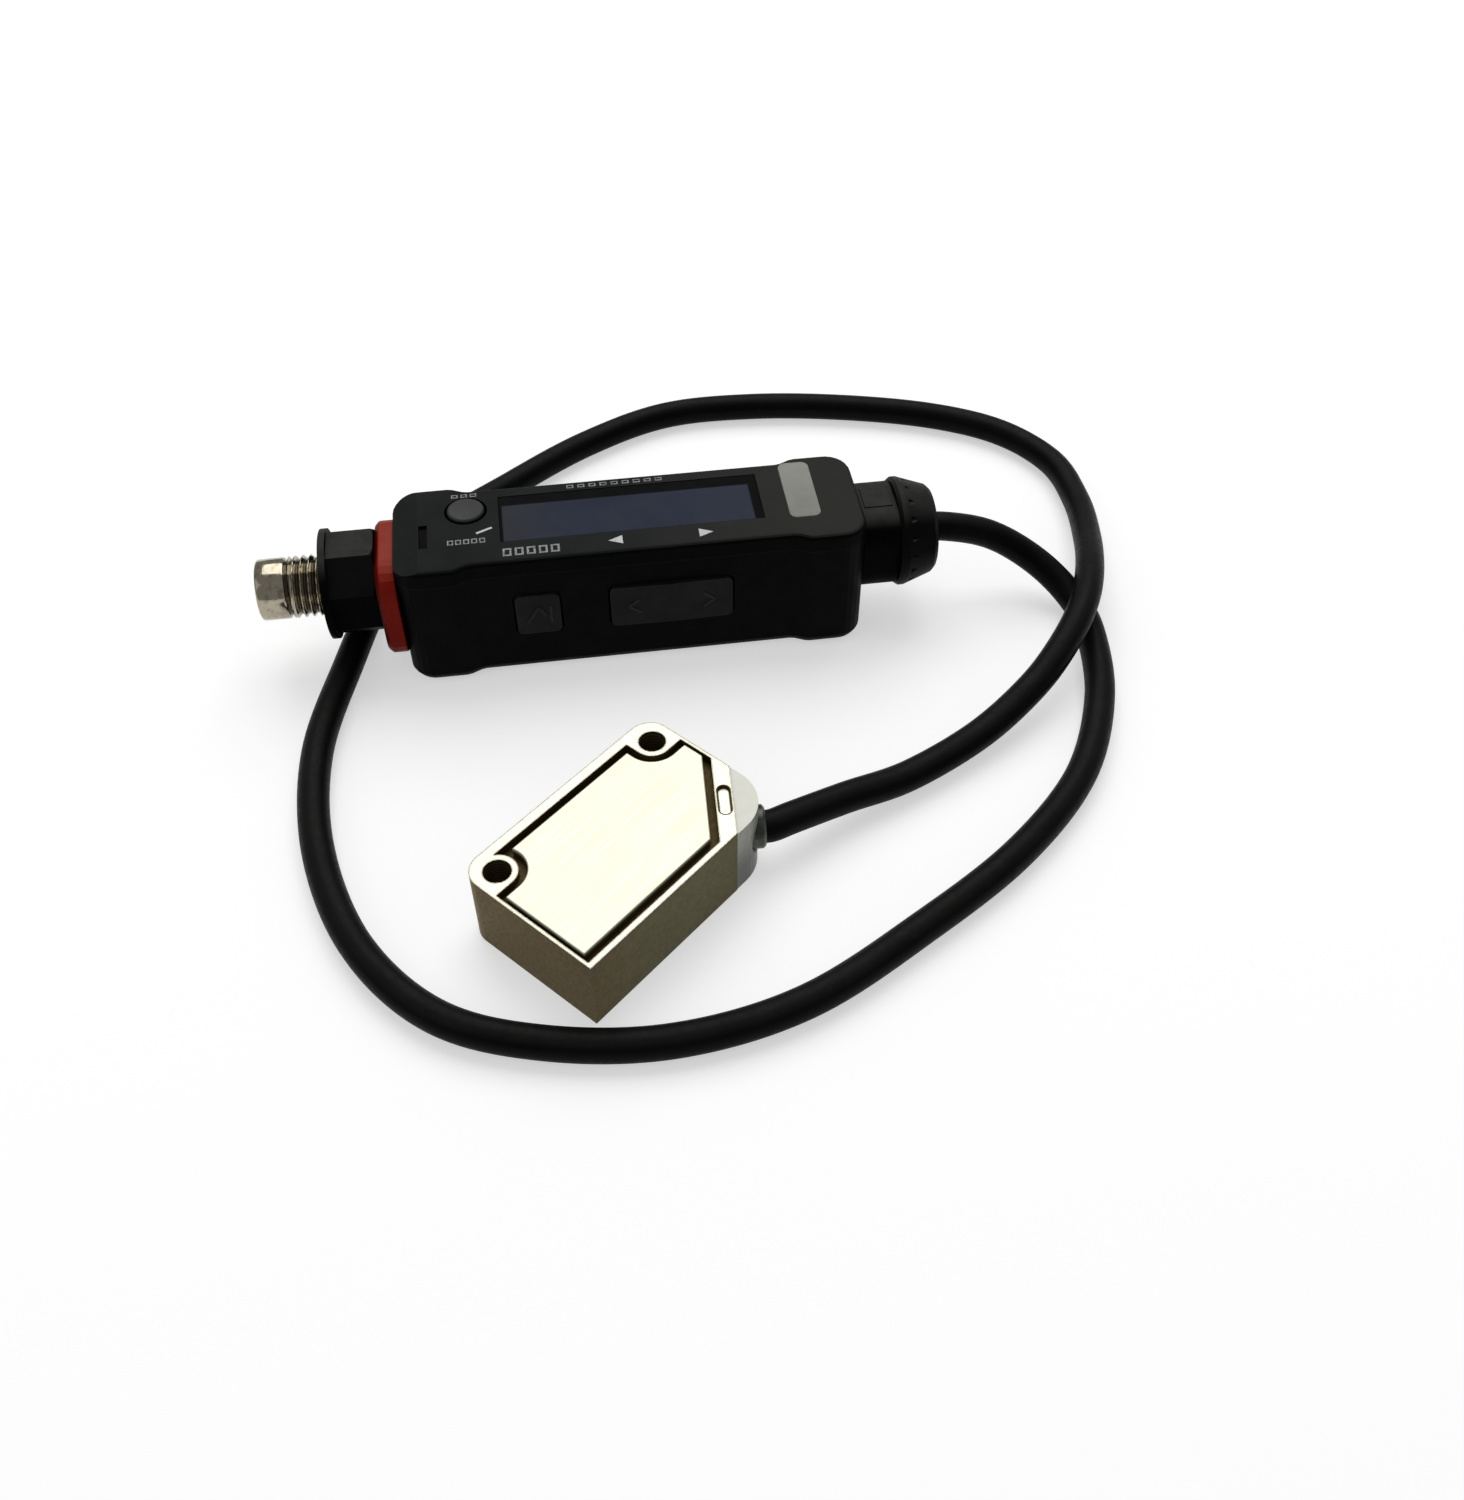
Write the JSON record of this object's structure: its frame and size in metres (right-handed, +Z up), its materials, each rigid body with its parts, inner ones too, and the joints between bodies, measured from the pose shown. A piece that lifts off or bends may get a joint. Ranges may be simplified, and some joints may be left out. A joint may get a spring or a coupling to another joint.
{
  "type": "digital laser sensor",
  "caption": "Small metal laser sensing head cabled to an in-line amplifier with a display, press buttons, a side rocker, an orange marker ring and a round plug.",
  "frame": {"origin": "midway between the head's two mounting holes, on its underside, which is also the table", "axes": "X along the two mounting holes, Y out of the sensing window, Z up through the mounting holes"},
  "size_m": [0.132, 0.1003, 0.0191],
  "materials": {
    "head_metal": "satin cast zinc, nickel plated",
    "plate_metal": "bright satin",
    "gland_metal": "dark satin",
    "window_glass": "dark red tinted, clear",
    "lens_glass": "clear",
    "clear_plastic": "clear, slightly frosted",
    "lamp_plastic": "translucent white",
    "display_glass": "slate blue, satin",
    "case_plastic": "fine matte grain",
    "cover_plastic": "satin",
    "button_plastic": "satin",
    "black_plastic": "moulded",
    "switch_plastic": "moulded",
    "board_green": "solder mask",
    "ring_orange": "satin",
    "seal_rubber": "matte",
    "cable_jacket": "satin polyurethane",
    "shell_nickel": "nickel plated",
    "pin_brass": "gold plated"
  },
  "bodies": {
    "base": {"head_case": "head_metal", "head_cover": "plate_metal", "front_window": "window_glass", "optics_holder": "black_plastic", "emitter_lens": "lens_glass", "receiver_lens": "lens_glass", "laser_diode": "pin_brass", "image_sensor": "black_plastic", "head_board": "board_green", "indicator_lens": "clear_plastic", "head_gland": "gland_metal", "sensor_cable": "cable_jacket", "amp_case": "case_plastic", "amp_cover": "cover_plastic", "display_window": "display_glass", "display_module": "black_plastic", "lamp_window": "lamp_plastic", "lamp_led": "switch_plastic", "set_switch": "switch_plastic", "mode_switch": "switch_plastic", "rocker_switches": "switch_plastic", "main_board": "board_green", "side_board": "board_green", "marker_ring": "ring_orange", "connector_collar": "case_plastic", "collar_seal": "seal_rubber", "connector_shell": "shell_nickel", "connector_insert": "black_plastic", "connector_pins": "pin_brass", "gland_body": "case_plastic", "gland_nut": "case_plastic", "gland_seal": "seal_rubber"},
    "set": {"set_button": "button_plastic"},
    "mode": {"mode_button": "button_plastic"},
    "rocker": {"select_rocker": "button_plastic"}
  },
  "joints": [
    {"name": "set_button_press", "type": "slide", "parent": "base", "child": "set", "axis": [0, 0, -1], "range_m": [0, 0.00025], "stiffness_N_per_m": 1500},
    {"name": "mode_button_press", "type": "slide", "parent": "base", "child": "mode", "axis": [0.6665, 0.7455, 0], "range_m": [0, 0.00025], "stiffness_N_per_m": 1500},
    {"name": "select_rocker_tilt", "type": "hinge", "parent": "base", "child": "rocker", "pos_m": [0.03485, 0.01683, 0.0099], "axis": [0, 0, 1], "range_deg": [-1.6, 1.6], "stiffness_Nm_per_rad": 0.05}
  ]
}
